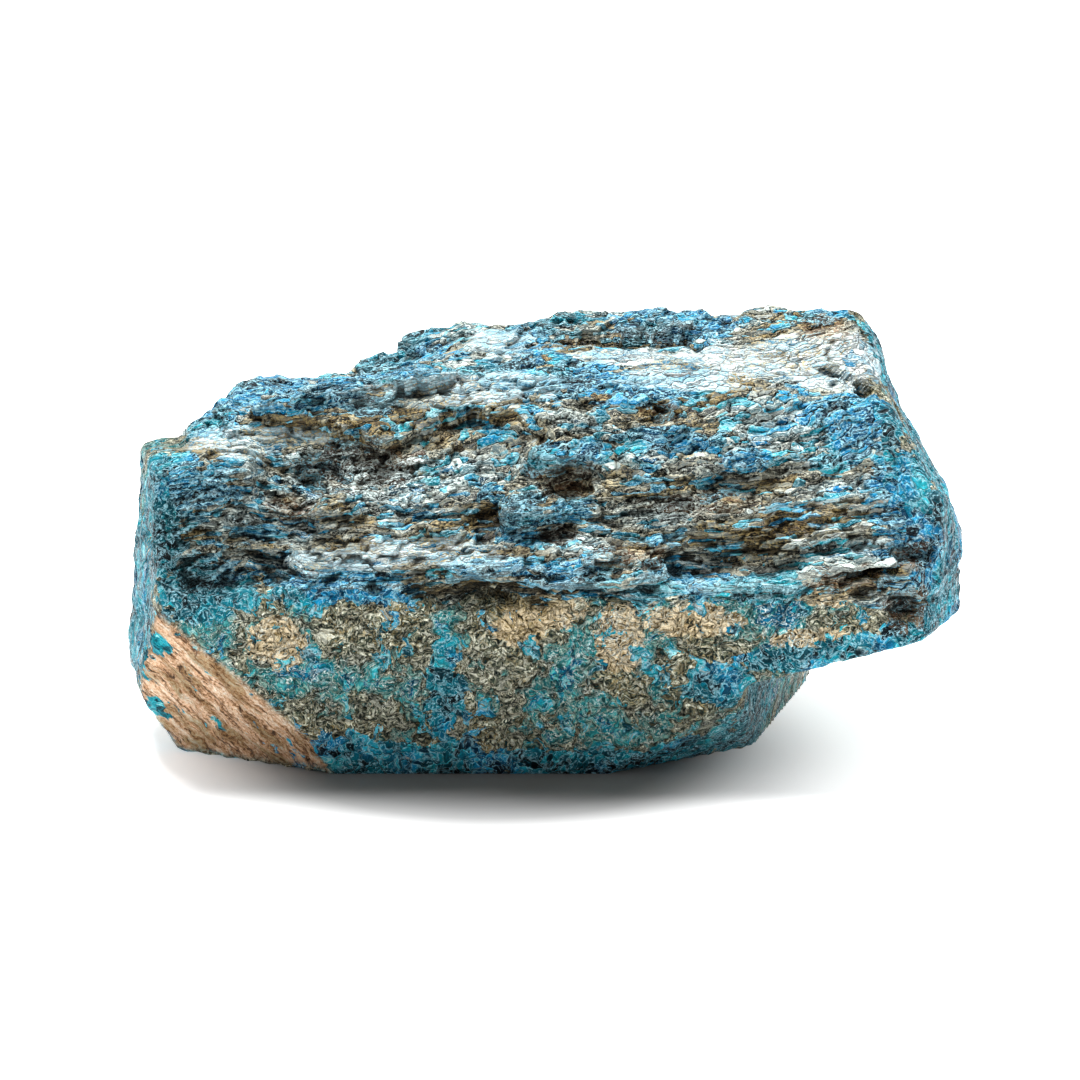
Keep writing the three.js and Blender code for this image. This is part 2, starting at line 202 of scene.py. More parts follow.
CRACK_TOP, CRACK_FOOT = np.array((22.6, 2.6, 38.4)), np.array((31.0, -2.6, 33.6))
CRACK_WIDTH, CRACK_DEPTH = 0.8, 1.0

# The knob is worn smooth, and so is the slope above the crest line: how much relief is lost there
KNOB_MIDDLE, KNOB_SIZE = np.array((28.5, 7.0, 38.5)), np.array((4.5, 6.0, 3.0))
WORN = 0.6

# How widely edges are rounded where faces meet, in millimetres
SLAB_ROUND, STEP_ROUND, BODY_ROUND, CREST_ROUND = 1.5, 1.2, 0.9, 0.7
TAN_ROUND, FOOT_ROUND, UNDERCUT_ROUND, FLOOR_ROUND = 0.3, 0.8, 0.6, 0.2


def bedding_height(points):
    """Height within the layering: z less the tilt, lifted and lowered by two slow waves."""
    x, y, z = points.T
    wave = WAVE * swell(x / 17, y / 13, z / 9, 3) + WAVE / 3 * swell(x / 6, y / 6, z / 4, 5)
    return z - TILT_RIGHT * x - TILT_BACK * y + wave


def sheet_edge(points, height, thickness, seed):
    """How far the sheet at each point stands out, -1 to 1. Each sheet of the given thickness has
    its own flat swell, and the last fifth of a sheet blends into the next one's."""
    x, y, z = points.T
    level = height / thickness
    sheet = np.floor(level)
    blend = ease(0.8, 1, level - sheet)
    torn = 0.28 * swell(x / (1.1 * thickness), y / (1.1 * thickness), z / thickness, seed + 0.5)
    along, across = x / (2.6 * thickness) + torn, y / (2.2 * thickness) - torn
    below = swell(along + sheet * 7.31, across + sheet * 3.17, seed, seed)
    above = swell(along + (sheet + 1) * 7.31, across + (sheet + 1) * 3.17, seed, seed)
    return below * (1 - blend) + above * blend


def fade(points, middle, size, rough=1.0):
    """Evenly fading spot: the square of one less the scaled square distance from its middle, which
    the rough numbers make larger or smaller from place to place."""
    away = (((points - middle) / size) ** 2).sum(1) * rough
    return np.maximum(0, 1 - away / 2.2) ** 2


def layered_share(points):
    """1 on the layered top, 0 on the clean front break, little on the worn left end and none on
    the right end, with ragged borders between."""
    x, y, z = points.T
    ragged = 1.5 * swell(x / 4.5, y / 4.5, z / 4.5, 41) + 0.7 * swell(x / 1.7, y / 1.7, z / 1.7, 43)
    above = ease(SHOULDER - 2.8, SHOULDER - 0.2, z + 0.03 * x + ragged)
    right_end = ease(RIGHT - 6.0, RIGHT - 2.5, x + 0.35 * (z - SHOULDER) + ragged)
    left_end = ease(LEFT + 6.5, LEFT + 3.0, x + ragged)
    return above * (1 - right_end) * (1 - 0.9 * left_end)


def stone_distance(points):
    """Distance beyond the stone's surface: the meeting of its faces with the joined slabs, less
    the relief of the sheets, lumps and hollows, met by the clean breaks."""
    slabs = [MAIN_SLAB, UPPER_LEFT_SLAB, NEXT_TERRACE_SLAB, LEFT_TERRACE_SLAB, KNOB_SLAB]
    tops = [meet(SLAB_ROUND, *[outside_face(points, one) for one in slab]) for slab in slabs]
    top = join(STEP_ROUND, outside_face(points, SHOULDER_FACE), *tops)
    sides = meet(BODY_ROUND, *[outside_face(points, one) for one in ENDS])
    body = meet(BODY_ROUND, sides, top)
    layered = layered_share(points)
    on_front = 1 - ease(FRONT + 2.2, FRONT + 4.7, points[:, 1])
    relief = (0.22 + 0.78 * layered) * (1 - 0.8 * on_front * (1 - layered))
    relief *= 1 - WORN * fade(points, KNOB_MIDDLE, KNOB_SIZE)
    crest = meet(CREST_ROUND, *[outside_face(points, one) for one in MAIN_SLAB[1:3]])
    relief *= 1 - WORN * ease(-2.2, -0.4, crest)
    height = bedding_height(points)
    raised = SHEET_RELIEF * relief * sheet_edge(points, height, SHEET, 1)
    raised += LEAF_RELIEF * relief * sheet_edge(points, height, LEAF, 2)
    x, y, z = points.T
    raised += LUMP_RELIEF * swell(x / 7, y / 7, z / 5, 9) * (0.35 + 0.65 * layered)
    rough = 1 + 0.6 * swell(x / 2.2, y / 2.2, z / 1.3, 61)
    for middle, size, out in FORMS:
        raised += out * fade(points, middle, size, rough)
    raised -= (0.8 - 0.5 * ease(-2, 6, x)) * layered * on_front
    run = CRACK_FOOT - CRACK_TOP
    share = np.clip((points - CRACK_TOP) @ run / (run @ run), 0, 1)
    from_crack = np.linalg.norm(points - CRACK_TOP - share[:, None] * run, axis=1)
    raised -= CRACK_DEPTH * np.maximum(0, 1 - from_crack / CRACK_WIDTH)
    body = meet(TAN_ROUND, body - raised, outside_face(points, TAN_FACE))
    foot = meet(FOOT_ROUND, outside_face(points, FOOT_FRONT), outside_face(points, FOOT_SIDE))
    underside = join(FOOT_ROUND, outside_face(points, OVERHANG_FACE), foot)
    return meet(FLOOR_ROUND, meet(UNDERCUT_ROUND, body, underside), -z)


# The grid: rows run from the left end's middle to the right end's, columns go round the stone,
# closer together on the front and top, where the sheets show
COARSE = 1
END_ROWS, ALONG_ROWS = 38 // COARSE, 228 // COARSE
SIDE_COLUMNS = [118 // COARSE, 112 // COARSE, 56 // COARSE, 36 // COARSE]
CORE = np.array((0, 0, 19.0))
REACH = np.array((41, 18.5, 20.0))
CORE_LENGTH = 0.62
START = 1.35                # rays start this many times as far out as their aim
STEP_SHARE, LEAST_STEP = 0.55, 0.12
HALVINGS = 10


def aim_grid():
    """Aims on a box: row by row, the cross-section grows over the left end, travels along the
    length and shrinks over the right end; columns follow the section's four sides in turn."""
    corners = np.array([(-1, -1), (-1, 1), (1, 1), (1, -1), (-1, -1)], float)
    sides = [
        a + (b - a) * np.arange(count)[:, None] / count
        for a, b, count in zip(corners[:-1], corners[1:], SIDE_COLUMNS)
    ]
    section = np.concatenate(sides)
    grow = (np.arange(END_ROWS) + 0.6) / END_ROWS
    along = np.linspace(-1, 1, ALONG_ROWS + 1)
    x = np.concatenate([np.full(END_ROWS, -1.0), along, np.full(END_ROWS, 1.0)])
    size = np.concatenate([grow, np.ones(ALONG_ROWS + 1), grow[::-1]])
    size[END_ROWS - 1] = size[END_ROWS + ALONG_ROWS + 1] = 1 - 0.5 / END_ROWS
    grid = np.empty((len(x), len(section), 3))
    grid[:, :, 0] = x[:, None]
    grid[:, :, 1:] = size[:, None, None] * section[None]
    poles = np.array([(-1, 0, 0), (1, 0, 0)], float)
    return np.concatenate([grid.reshape(-1, 3), poles]) * REACH + CORE, len(x), len(section)


def surface_points(aims):
    """Where each ray from the core leaves the stone for good: from outside, steps inwards of
    about half the distance left, then halvings of the last step."""
    starts = CORE + (aims - CORE) * (CORE_LENGTH, 0, 0)
    reach = np.linalg.norm(aims - starts, axis=1)
    outer = np.full(len(aims), START)
    inner = outer.copy()
    active = np.arange(len(aims))
    while len(active):
        at = starts[active] + (aims - starts)[active] * inner[active, None]
        away = stone_distance(at)
        still_out = away > 0
        active = active[still_out]
        outer[active] = inner[active]
        inner[active] -= np.maximum(STEP_SHARE * away[still_out], LEAST_STEP) / reach[active]
    for _ in range(HALVINGS):
        middle = (inner + outer) / 2
        inside = stone_distance(starts + (aims - starts) * middle[:, None]) < 0
        inner = np.where(inside, middle, inner)
        outer = np.where(inside, outer, middle)
    return starts + (aims - starts) * ((inner + outer) / 2)[:, None]


def grid_faces(rows, columns):
    """Quads between neighbouring rows and columns, with the last column joined to the first, and
    a fan of triangles round each end's middle point."""
    corner = np.arange(rows * columns).reshape(rows, columns)
    ahead = np.roll(corner, -1, axis=1)
    quads = np.stack([corner[:-1], corner[1:], ahead[1:], ahead[:-1]], -1).reshape(-1, 4)
    left_pole, right_pole = rows * columns, rows * columns + 1
    left = np.stack([corner[0], ahead[0], np.full(columns, left_pole)], -1)
    right = np.stack([ahead[-1], corner[-1], np.full(columns, right_pole)], -1)
    return quads, np.concatenate([left, right])


def point_normals(points, quads, fans):
    """Outward direction at each point: the sum of the cross products of the faces round it."""
    normals = np.zeros_like(points)
    for faces, spread in ((quads, (0, 1, 2, 3)), (fans, (0, 1, 2))):
        a, b = points[faces[:, 2]] - points[faces[:, 0]], points[faces[:, -1]] - points[faces[:, 1]]
        if faces.shape[1] == 3:
            b = points[faces[:, 2]] - points[faces[:, 1]]
        cross = np.cross(a, b)
        for corner in spread:
            np.add.at(normals, faces[:, corner], cross)
    return normals / np.maximum(np.linalg.norm(normals, axis=1, keepdims=True), 1e-12)


def crystal_facets(q, seed):
    """Facets of grown or broken crystals in cells of size one: the cell's own random tilt times the
    offset from its seed point, and that cell's random number."""
    base = np.floor(q)
    best = np.full(len(q), 9.0)
    tilt = np.zeros(len(q))
    number = np.zeros(len(q))
    for step in np.ndindex(3, 3, 3):
        cell = base + np.array(step) - 1
        i, j, k = cell.T
        at = cell + np.stack([scatter(i, j, k, seed + n) for n in (0.1, 0.2, 0.3)], -1)
        offset = q - at
        away = (offset ** 2).sum(1)
        lean = np.stack([scatter(i, j, k, seed + n) for n in (0.4, 0.5, 0.6)], -1) * 2 - 1
        nearer = away < best
        best = np.where(nearer, away, best)
        tilt = np.where(nearer, (lean * offset).sum(1), tilt)
        number = np.where(nearer, scatter(i, j, k, seed + 0.7), number)
    return tilt, number


aims, rows, columns = aim_grid()
points = surface_points(aims)
quads, fans = grid_faces(rows, columns)
normals = point_normals(points, quads, fans)
if (points * normals).sum() < 0:
    quads, fans, normals = quads[:, ::-1], fans[:, ::-1], -normals

# Fine relief: flaky crystals on the layered top, low grain on the clean breaks, and split fibres
# on the tan corner. Sizes in millimetres.
FLAKE = np.array((2.0, 1.8, 0.85))
FLAKE_LEAN, FLAKE_STEP = 0.40, 0.14
GRAIN = 1.5
GRAIN_LEAN, GRAIN_SWELL = 0.16, 0.12
FIBRE_RUN = np.array((1, 0.196, -1.088)) / np.linalg.norm((1, 0.196, -1.088))
FIBRE_PITCH = 1.1
SPLIT_DEPTH, STRAND_DEPTH, TAN_SUNK = 0.30, 0.10, 0.15
CRUSHED_MIDDLE, CRUSHED_SIZE = np.array((17.0, -1.0, 36.5)), np.array((13.0, 5.0, 3.0))

x, y, z = points.T
height = bedding_height(points)
bedding = np.stack([x, y, height], -1)
fibre_side = np.cross(TAN_FACE[1], FIBRE_RUN)
fibre = np.stack([points @ FIBRE_RUN, points @ fibre_side, points @ TAN_FACE[1]], -1)
on_tan = ease(-0.55, -0.15, outside_face(points, TAN_FACE)) * ease(0.15, 0.8, z)
layered = layered_share(points) * (1 - on_tan)
on_floor = 1 - ease(0.05, 0.7, z)
flakes, flake_number = crystal_facets(bedding / FLAKE, 11)
grains, _ = crystal_facets(points / GRAIN, 23)
splits = swell(fibre[:, 0] / 11, fibre[:, 1] / FIBRE_PITCH, 4, 31)
strands = swell(fibre[:, 0] / 4, fibre[:, 1] / (0.4 * FIBRE_PITCH), 7, 37)
crushed = np.sqrt(fade(points, CRUSHED_MIDDLE, CRUSHED_SIZE))
detail = layered * (1 - 0.7 * crushed)
detail *= FLAKE_LEAN * flakes + FLAKE_STEP * (flake_number - 0.5)
worn_lumps = swell(x / 3, y / 3, z / 3, 17)
detail += (1 - layered) * (1 - on_tan) * (GRAIN_LEAN * grains + GRAIN_SWELL * worn_lumps)
detail += on_tan * (SPLIT_DEPTH * splits + STRAND_DEPTH * strands - TAN_SUNK)
points = points + normals * (detail * (1 - on_floor))[:, None]
points[:, 2] = np.maximum(points[:, 2], 0)
points[on_floor > 0.999, 2] = 0

# ---- The stone's colours -----------------------------------------------------------------
# Where each mineral shows: spots placed on the stone, each with its middle and half size in
# millimetres. Blue is clear apatite, pale is crushed and weathered crystal made paler still as
# painted light where the treads and slopes face the lamp, rust is iron stain.
BLUE_SPOTS = [
    ((-35.5, -14.0, 27.5), (4.0, 5.0, 3.5)),    # left end's upper corner
    ((-31.0, -14.0, 27.0), (2.2, 2.5, 1.8)),
    ((-31.0, 0.0, 31.5), (2.5, 6.0, 2.5)),      # rim of the next terrace
    ((-25.0, 0.0, 33.0), (5.0, 4.0, 1.3)),
    ((-27.5, 10.0, 32.0), (6.0, 7.0, 2.6)),
    ((-13.5, 10.0, 34.6), (5.0, 6.0, 2.2)),
    ((-20.0, -2.0, 33.6), (5.0, 3.5, 1.3)),
    ((-14.8, -0.7, 35.4), (3.5, 4.0, 1.5)),
    ((-17.6, -3.4, 32.8), (3.2, 2.0, 0.7)),
    ((-11.0, -1.7, 35.7), (3.2, 1.6, 0.7)),
    ((0.0, -3.2, 35.6), (8.0, 4.0, 1.8)),       # blue-white slope under the crest
    ((9.0, -4.5, 34.8), (7.0, 3.0, 1.3)),
    ((-1.9, 5.7, 38.0), (5.0, 5.0, 1.5)),
    ((12.6, 8.0, 38.0), (5.0, 3.5, 1.6)),       # lumps behind the pit
    ((-31.0, -17.0, 18.6), (5.0, 2.5, 2.6)),    # shoulder, left
    ((-19.0, -18.2, 19.0), (8.0, 2.5, 1.4)),
    ((-4.6, -18.0, 20.8), (4.0, 2.0, 0.9)),     # lip over the undercut
    ((-1.4, -14.5, 25.2), (2.6, 2.5, 3.0)),     # blue lump
    ((2.2, -13.6, 25.4), (2.6, 2.0, 1.2)),
    ((2.8, -9.9, 30.0), (3.8, 2.0, 1.0)),
    ((11.8, -9.2, 30.8), (4.5, 2.0, 1.0)),
    ((19.5, -11.0, 29.2), (2.0, 1.8, 1.0)),
    ((27.7, -10.8, 29.0), (2.2, 1.8, 0.9)),
    ((30.4, -7.6, 32.4), (4.2, 3.0, 2.6)),      # right end, upper
    ((37.0, 2.0, 26.5), (3.5, 12.0, 5.0)),
    ((35.5, -15.0, 25.0), (3.5, 4.0, 3.0)),
    ((39.5, -10.0, 18.5), (3.2, 12.0, 7.5)),
    ((36.0, -14.5, 21.5), (4.0, 4.5, 7.0)),
    ((34.0, -11.5, 27.5), (3.0, 5.0, 3.0)),
    ((20.4, -18.4, 19.2), (3.6, 1.5, 1.5)),
    ((3.0, -18.6, 20.6), (4.5, 1.5, 2.2)),
    ((12.0, -17.6, 19.4), (6.0, 2.0, 1.5)),
    ((-12.0, -17.0, 1.2), (9.0, 2.5, 1.7)),     # lower edge
    ((3.0, -17.0, 0.9), (9.0, 2.5, 1.5)),
    ((14.0, -13.0, 1.2), (8.0, 4.0, 1.8)),
    ((-18.6, -16.3, 2.2), (2.6, 2.5, 1.8)),
    ((-8.9, -17.0, 9.0), (1.5, 1.5, 4.5)),      # streak down the front
    ((16.9, -17.0, 9.2), (2.6, 1.5, 2.0)),
    ((24.3, -17.5, 11.8), (5.0, 2.0, 1.0)),     # edge of the overhang
    ((30.8, -17.5, 13.0), (5.0, 2.0, 1.1)),
    ((36.2, -17.2, 14.6), (4.0, 2.5, 1.4)),
    ((27.0, 7.0, 39.6), (3.0, 3.0, 0.8)),       # the knob
    ((33.2, 6.0, 35.5), (2.2, 6.0, 3.4)),
    ((-26.1, -13.5, 22.8), (2.0, 1.8, 0.8)),
    ((-39.0, 2.0, 14.0), (2.5, 10.0, 10.0)),    # left end
    ((-38.6, -12.5, 18.0), (2.2, 6.0, 9.0)),
    ((-35.8, -15.5, 22.5), (2.2, 4.0, 3.2)),
    ((21.0, -9.0, 4.5), (5.0, 5.0, 3.6)),       # foot
    ((22.0, 17.0, 20.0), (7.0, 3.0, 5.0)),      # the back
    ((-22.0, 17.0, 10.0), (6.0, 3.0, 4.0)),
    ((-36.8, -15.6, 12.8), (2.4, 2.0, 1.2)),    # pockets at the tan corner's left side
    ((-36.8, -10.6, 5.0), (2.6, 2.5, 1.1)),
]
PALE_AND_LIT_SPOTS = [
    ((22.0, 0.5, 36.6), (8.5, 3.5, 1.6)),
    ((15.0, -3.1, 35.8), (6.0, 2.6, 1.4)),
    ((28.0, -0.4, 35.2), (4.0, 3.0, 2.0)),
    ((-4.5, 5.5, 37.2), (3.5, 4.0, 1.0)),
    ((10.5, 0.0, 37.0), (6.5, 2.0, 0.9)),
    ((29.0, 1.0, 37.0), (4.0, 4.0, 2.6)),
    ((-18.6, -17.0, 21.2), (8.0, 2.6, 0.9)),
    ((-10.2, -16.4, 21.9), (7.0, 2.6, 1.0)),
    ((-5.7, -2.9, 34.4), (7.0, 2.6, 1.2)),
    ((-13.3, -3.0, 33.6), (4.5, 2.4, 0.9)),
    ((-27.0, -6.5, 30.0), (6.5, 4.0, 0.9)),
    ((6.0, 17.0, 24.0), (9.0, 3.0, 3.0)),
]
RUST_SPOTS = [
    ((-17.0, -8.3, 28.2), (6.0, 3.5, 2.2)),
    ((-23.0, -12.2, 25.2), (2.6, 2.0, 1.3)),
    ((2.6, -9.8, 26.8), (3.2, 2.5, 1.8)),
    ((1.5, -13.8, 23.0), (1.9, 1.6, 1.0)),
    ((11.2, -7.0, 32.9), (1.8, 1.6, 0.8)),
    ((8.4, -17.0, 21.6), (5.0, 2.0, 1.0)),
    ((27.5, 5.5, 38.2), (2.6, 2.5, 1.4)),
    ((34.2, -17.4, 16.9), (2.1, 2.0, 2.0)),
    ((35.1, -17.2, 21.6), (2.2, 1.6, 1.1)),
    ((28.8, -18.2, 19.8), (4.0, 1.6, 1.3)),
    ((15.0, -13.2, 25.6), (6.0, 2.0, 1.0)),
    ((-12.0, 16.0, 21.0), (7.0, 4.0, 3.0)),
]
# Darker places: in the pit, the undercut, the recesses, the foot under the overhang and the back's
# hollow they are painted shade
DARK_AND_SHADE_SPOTS = [
    ((-31.0, -15.0, 23.2), (7.0, 4.5, 5.0)),
    ((-19.0, -10.0, 28.5), (8.0, 5.0, 3.2)),
    ((-16.0, -3.4, 33.0), (6.0, 2.5, 1.8)),
    ((-3.5, -13.0, 26.0), (6.0, 4.0, 3.5)),
    ((9.0, -12.0, 25.5), (8.0, 4.0, 3.0)),
    ((6.0, -8.0, 32.0), (8.0, 2.5, 1.4)),
    ((-5.0, -18.3, 18.0), (7.0, 2.5, 1.2)),
    ((8.6, 6.4, 37.0), (6.0, 2.6, 2.6)),
    ((22.0, -11.0, 6.0), (8.0, 6.0, 6.0)),
    ((-12.0, 16.5, 20.0), (12.0, 4.0, 7.0)),
    ((12.0, 17.0, 5.0), (16.0, 4.0, 5.0)),
]
TAN_SPOTS = [
    ((0.2, -18.0, 17.2), (3.6, 1.5, 2.2)),
    ((-2.0, -17.8, 14.8), (2.2, 1.5, 1.6)),
    ((7.4, -17.8, 13.8), (2.0, 1.5, 3.2)),
    ((-24.5, -17.6, 13.5), (2.4, 1.5, 2.4)),
    ((14.5, -17.8, 15.7), (4.0, 1.5, 1.6)),
    ((25.2, -17.7, 13.9), (3.8, 1.5, 0.9)),
    ((26.9, -18.4, 18.4), (2.2, 1.2, 1.2)),
]


def shown(spots):
    """How strongly a mineral shows at each point: the strongest of its spots there."""
    strongest = np.zeros(len(points))
    for middle, size in spots:
        strongest = np.maximum(strongest, np.sqrt(fade(points, middle, size)))
    return strongest


def smoothed(grid, rounds):
    """The grid's points, each moved round after round half way to the mean of its neighbours."""
    for _ in range(rounds):
        longer = np.concatenate([grid[:1], grid, grid[-1:]])
        around = longer[:-2] + longer[2:] + np.roll(grid, 1, axis=1) + np.roll(grid, -1, axis=1)
        grid = 0.5 * grid + around / 8
    return grid


def depth_below(rounds):
    """How far each point lies below the smoothed surface, along its normal: positive in a
    hollow, negative on an edge."""
    near = points[:rows * columns].reshape(rows, columns, 3)
    away = smoothed(near, rounds).reshape(-1, 3) - points[:rows * columns]
    return np.append((away * normals[:rows * columns]).sum(1), (0, 0))


normals = point_normals(points, quads, fans)
# Depths in millimetres that count as one, for the narrow crevices and the broad hollows
CREVICE_DEPTH, CREVICE_ROUNDS = 0.10, 4
HOLLOW_DEPTH, HOLLOW_ROUNDS = 0.55, 60
crevice = depth_below(CREVICE_ROUNDS) / CREVICE_DEPTH
hollow = depth_below(HOLLOW_ROUNDS) / HOLLOW_DEPTH
for middle, size, out in FORMS:
    hollow = hollow - 0.22 * out * fade(points, middle, size) * (out < 0)
broad_faces = smoothed(normals[:rows * columns].reshape(rows, columns, 3), 2).reshape(-1, 3)
upward = np.append(broad_faces[:, 2], (0, 0))
# The crevice, hollow and upward marks drive the painted shade and painted highlights in the colours
marks = {
    "layered": layered,
    "tan_face": on_tan,
    "blue": shown(BLUE_SPOTS),
    "pale": shown(PALE_AND_LIT_SPOTS),
    "rust": shown(RUST_SPOTS),
    "dark": shown(DARK_AND_SHADE_SPOTS),
    "tan_spot": shown(TAN_SPOTS),
    "crevice": np.clip(crevice, -2, 2),
    "hollow": np.clip(hollow, -1, 1.5),
    "upward": upward,
}

# The stone stands with the middle of its box above the origin, as in the frame
middle = (points.min(0) + points.max(0)) / 2
MM = 0.001
points = (points - (middle[0], middle[1], 0)) * MM

mesh = bpy.data.meshes.new("apatite_stone")
mesh.from_pydata(points.tolist(), [], quads.tolist() + fans.tolist())
mesh.polygons.foreach_set("use_smooth", np.zeros(len(mesh.polygons), bool))
for name, values in marks.items():
    mesh.attributes.new(name, "FLOAT", "POINT").data.foreach_set("value", values.astype(np.float32))
for name, values in (("bedding", bedding), ("fibre", fibre)):
    data = mesh.attributes.new(name, "FLOAT_VECTOR", "POINT").data
    data.foreach_set("vector", values.astype(np.float32).ravel())
mesh.update()
stone = bpy.data.objects.new("apatite_stone", mesh)
bpy.context.scene.collection.objects.link(stone)


def linear(hex_colour):
    """An sRGB hex colour as linear red, green, blue and alpha."""
    channels = [int(hex_colour[i:i + 2], 16) / 255 for i in (1, 3, 5)]
    return [c / 12.92 if c <= 0.04045 else ((c + 0.055) / 1.055) ** 2.4 for c in channels] + [1.0]


def add_node(tree, kind, settings=(), inputs=(), output=0):
    """Adds one node, sets its properties and ramp stops, gives each input a value or a link, and
    returns one of its outputs."""
    node = tree.nodes.new(kind)
    for name, value in dict(settings).items():
        if name != "stops":
            setattr(node, name, value)
            continue
        elements = node.color_ramp.elements
        for place, _ in value[1:-1]:
            elements.new(place)
        for element, (place, colour) in zip(elements, value):
            element.position = place
            element.color = linear(colour)
    for key, value in dict(inputs).items():
        if isinstance(value, bpy.types.NodeSocket):
            tree.links.new(value, node.inputs[key])
        else:
            node.inputs[key].default_value = value
    return node.outputs[output]


# Rough apatite: calcium phosphate crystals of one to three millimetres, broken, in a grey-olive
# matrix. The broken faces are dull to glassy; the thin pale lines round the crystals are painted
# highlights.
rough_apatite = bpy.data.materials.new("rough_apatite")
rough_apatite.use_nodes = True
tree = rough_apatite.node_tree
shader = tree.nodes["Principled BSDF"]
MATH, VECTOR = "ShaderNodeMath", "ShaderNodeVectorMath"
MIX, RANGE = "ShaderNodeMix", "ShaderNodeMapRange"
NOISE, CELLS = "ShaderNodeTexNoise", "ShaderNodeTexVoronoi"
RAMP, MARK = "ShaderNodeValToRGB", "ShaderNodeAttribute"
SMOOTH = {"interpolation_type": "SMOOTHSTEP"}
TO_EDGE = {"feature": "DISTANCE_TO_EDGE"}
TIMES, TIMES_PLUS = {"operation": "MULTIPLY"}, {"operation": "MULTIPLY_ADD"}
LESS = {"operation": "SUBTRACT"}
COLOUR = {"data_type": "RGBA"}
TINT = {"data_type": "RGBA", "blend_type": "MULTIPLY"}

# Coordinates in millimetres: the stone's own, and those that follow the layering
place = add_node(tree, "ShaderNodeTexCoord", output="Object")
place = add_node(tree, VECTOR, {"operation": "SCALE"}, {0: place, 3: 1000.0})
layers = add_node(tree, MARK, {"attribute_name": "bedding"}, output="Vector")
mark = {name: add_node(tree, MARK, {"attribute_name": name}, output="Fac") for name in marks}
border = {"Value": mark["layered"], "From Min": 0.47, "From Max": 0.53}
layered_mark = add_node(tree, RANGE, SMOOTH, border)
on_top = add_node(tree, MATH, {"operation": "GREATER_THAN"}, {0: layered_mark, 1: 0.5})

# Crystal cells: 1.7 mm and even on the clean breaks, flakes of about 3.4 by 1.6 by 0.7 mm on the
# layered top, each broken into fine flakes half as large. Numbers are cells per millimetre.
EVEN_CELLS, FLAKE_CELLS = 0.60, (0.29, 0.62, 1.35)
swirl = add_node(tree, NOISE, {}, {"Vector": place, "Scale": 0.55, "Detail": 2.0}, "Color")
swirl = add_node(tree, VECTOR, LESS, {0: swirl, 1: (0.5, 0.5, 0.5)})
even = add_node(tree, VECTOR, {"operation": "SCALE"}, {0: place, 3: EVEN_CELLS})
flat = add_node(tree, VECTOR, TIMES, {0: layers, 1: FLAKE_CELLS})
cells = add_node(tree, MIX, {"data_type": "VECTOR"}, {0: on_top, 4: even, 5: flat}, 1)
warp = add_node(tree, MATH, TIMES_PLUS, {0: on_top, 1: -0.5, 2: 1.6})
warp = add_node(tree, VECTOR, {"operation": "SCALE"}, {0: swirl, 3: warp})
cells = add_node(tree, VECTOR, {"operation": "ADD"}, {0: cells, 1: warp})
crystal = add_node(tree, CELLS, {}, {"Vector": cells, "Scale": 1.0}, "Color")
crystal_red = add_node(tree, "ShaderNodeSeparateColor", {}, {0: crystal})
crystal_green = crystal_red.node.outputs[1]
rim = add_node(tree, CELLS, TO_EDGE, {"Vector": cells, "Scale": 1.0})
fine = add_node(tree, CELLS, {}, {"Vector": cells, "Scale": 2.0}, "Color")
fine_red = add_node(tree, "ShaderNodeSeparateColor", {}, {0: fine})
fine_green = fine_red.node.outputs[1]
fine_rim = add_node(tree, CELLS, TO_EDGE, {"Vector": cells, "Scale": 2.0})
fine_place = fine.node.outputs["Position"]

# Slow changes: patches about four cells across, blobs of one cell, mottling of half a cell. On the
# layered top they are read at each fine flake's middle, so that a flake has one colour; on the
# clean breaks they flow.
# Thin curls lie where a warped noise crosses its middle value.
flow = add_node(tree, MIX, {"data_type": "VECTOR"}, {0: on_top, 4: cells, 5: fine_place}, 1)
slow = {"Vector": flow, "Scale": 0.23, "Detail": 3.0, "Roughness": 0.6}
patches = add_node(tree, NOISE, {}, slow)
blobs = add_node(tree, NOISE, {}, {"Vector": flow, "Scale": 0.75, "Detail": 3.0})
mottle = add_node(tree, NOISE, {}, {"Vector": flow, "Scale": 2.3, "Detail": 3.0, "Roughness": 0.6})
curls = add_node(tree, NOISE, {}, {"Vector": cells, "Scale": 1.3, "Detail": 3.0, "Distortion": 1.6})
tight = add_node(tree, NOISE, {}, {"Vector": cells, "Scale": 4.2, "Detail": 2.0, "Distortion": 1.0})
grit = add_node(tree, NOISE, {}, {"Vector": place, "Scale": 3.4, "Detail": 2.0, "Roughness": 0.65})

# Which mineral a flake is
kind = add_node(tree, MATH, TIMES_PLUS, {0: patches, 1: 2.2, 2: -1.1})
kind = add_node(tree, MATH, TIMES_PLUS, {0: blobs, 1: 1.5, 2: kind})
kind = add_node(tree, MATH, LESS, {0: kind, 1: 0.48})
front_kind = add_node(tree, MATH, TIMES_PLUS, {0: patches, 1: 1.3, 2: kind})
front_kind = add_node(tree, MATH, TIMES_PLUS, {0: mottle, 1: 0.4, 2: front_kind})
front_kind = add_node(tree, MATH, TIMES_PLUS, {0: crystal_red, 1: 0.16, 2: front_kind})
front_kind = add_node(tree, MATH, TIMES_PLUS, {0: tight, 1: 0.35, 2: front_kind})
front_kind = add_node(tree, MATH, LESS, {0: front_kind, 1: 0.87})
kind = add_node(tree, MATH, TIMES_PLUS, {0: crystal_red, 1: 0.24, 2: kind})
kind = add_node(tree, MATH, TIMES_PLUS, {0: fine_green, 1: 0.26, 2: kind})
island = add_node(tree, RAMP, {"stops": [
    (0.36, "#1c2b29"), (0.44, "#4e584c"), (0.52, "#868876"), (0.61, "#cccdbf"),
]}, {0: tight})
front_colour = add_node(tree, RAMP, {"stops": [
    (0.48, "#12292a"), (0.56, "#1d5052"), (0.64, "#82a197"), (0.73, "#24767a"), (0.88, "#56a09f"),
    (1.0, "#0b6a86"),
]}, {0: front_kind})
